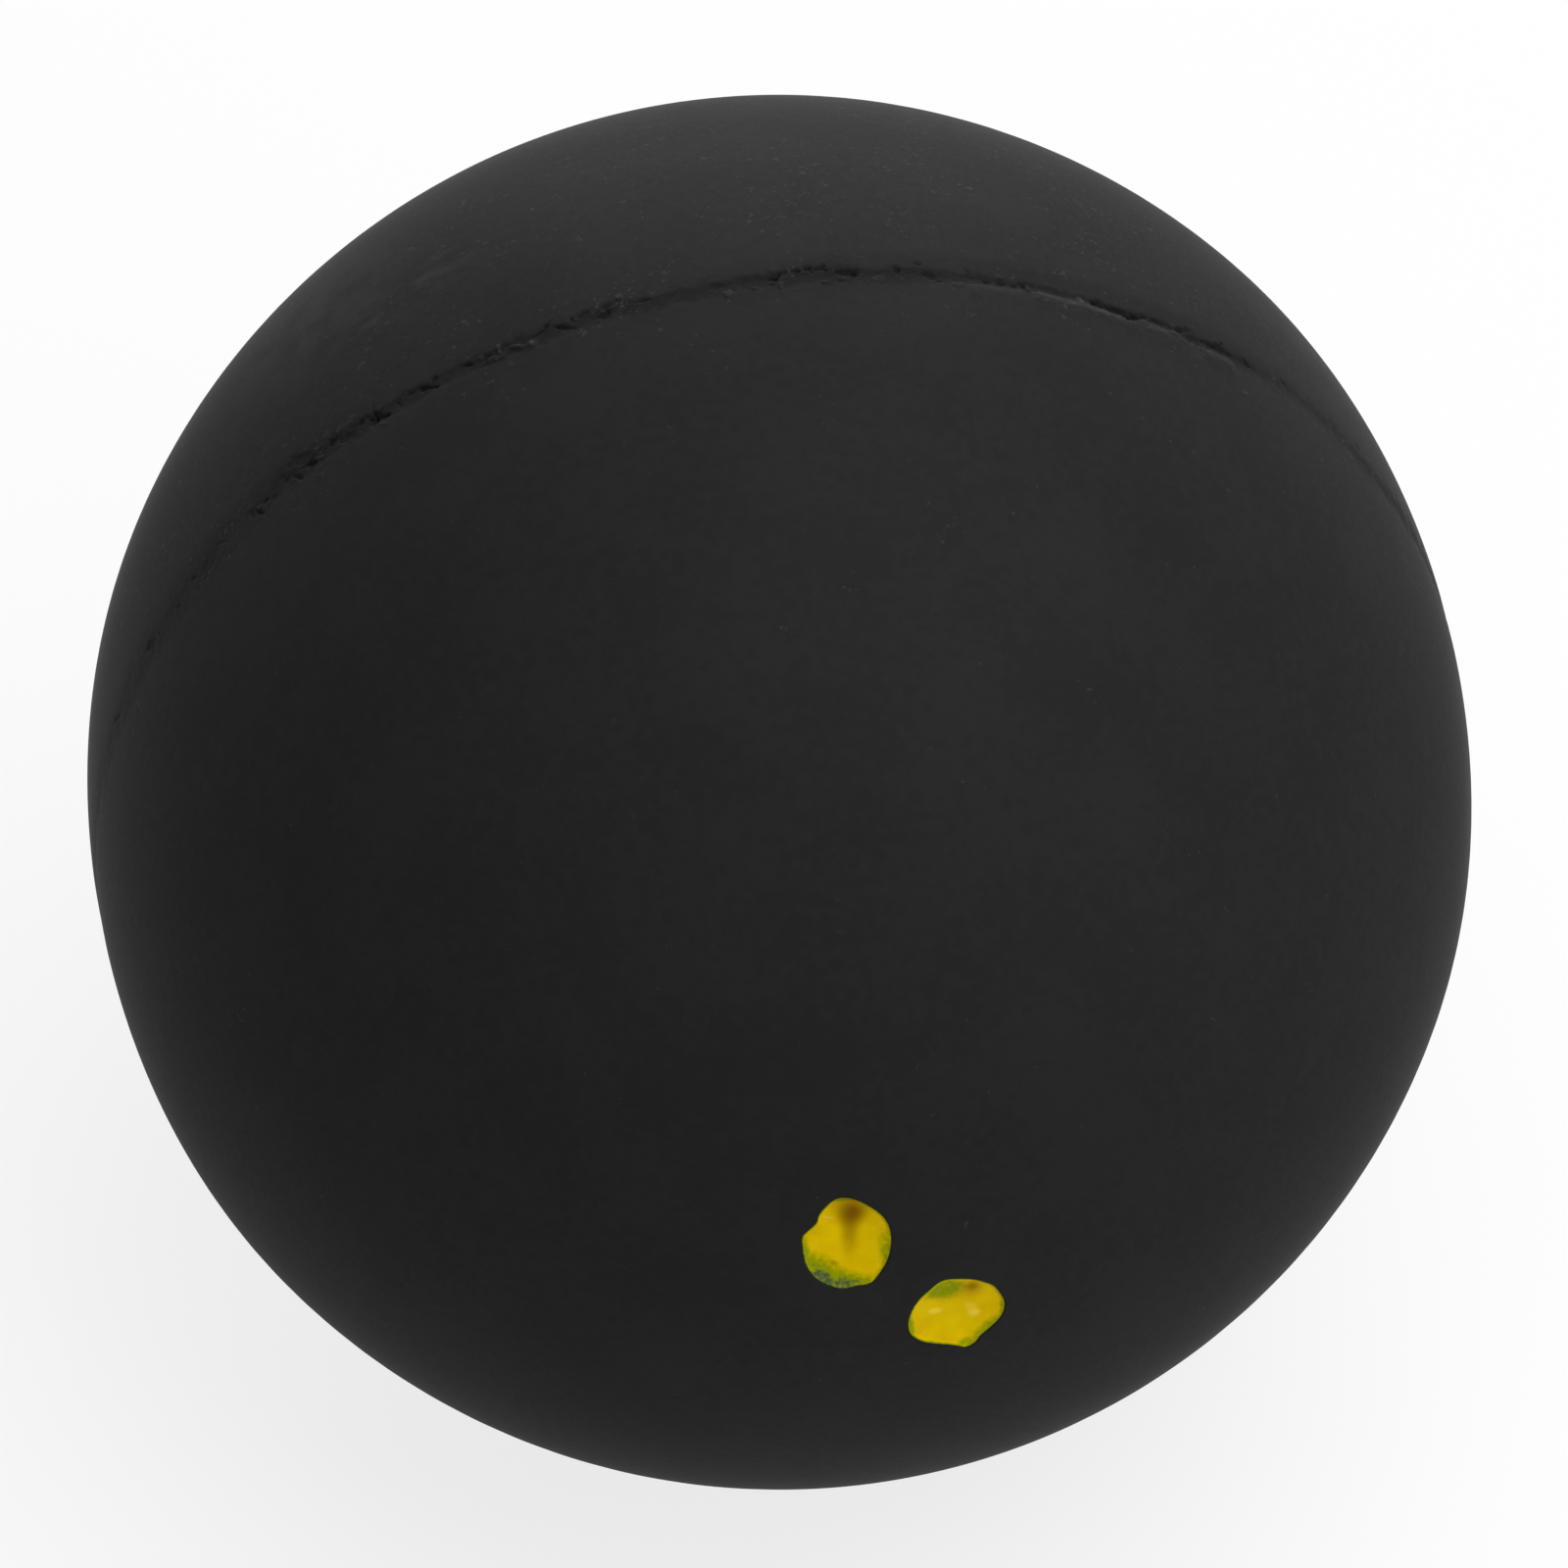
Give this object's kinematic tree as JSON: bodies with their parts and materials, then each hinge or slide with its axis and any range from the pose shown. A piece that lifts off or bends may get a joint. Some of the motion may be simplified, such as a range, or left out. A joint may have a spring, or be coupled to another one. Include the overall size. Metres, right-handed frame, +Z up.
{
  "type": "squash ball",
  "caption": "Hollow rubber squash ball: moulded half shells cemented along a seam groove, with yellow paint marker dots in shallow dimples near a pole.",
  "frame": {"origin": "the middle of the ball, halfway between the poles", "axes": "+Z up; +Y along the ball's own axis, from the front pole with the dots to the rear pole; the seam lies in the XZ plane"},
  "size_m": [0.0398, 0.0402, 0.0398],
  "materials": {
    "shell_rubber": "matte moulded rubber with fine scuffs",
    "seam_cement": "matte cured rubber cement",
    "dot_paint": "glossy yellow marker paint"
  },
  "bodies": {
    "root": {"front_half_shell": "shell_rubber", "rear_half_shell": "shell_rubber", "seam_bond": "seam_cement", "yellow_dot_upper": "dot_paint", "yellow_dot_lower": "dot_paint"}
  },
  "joints": []
}
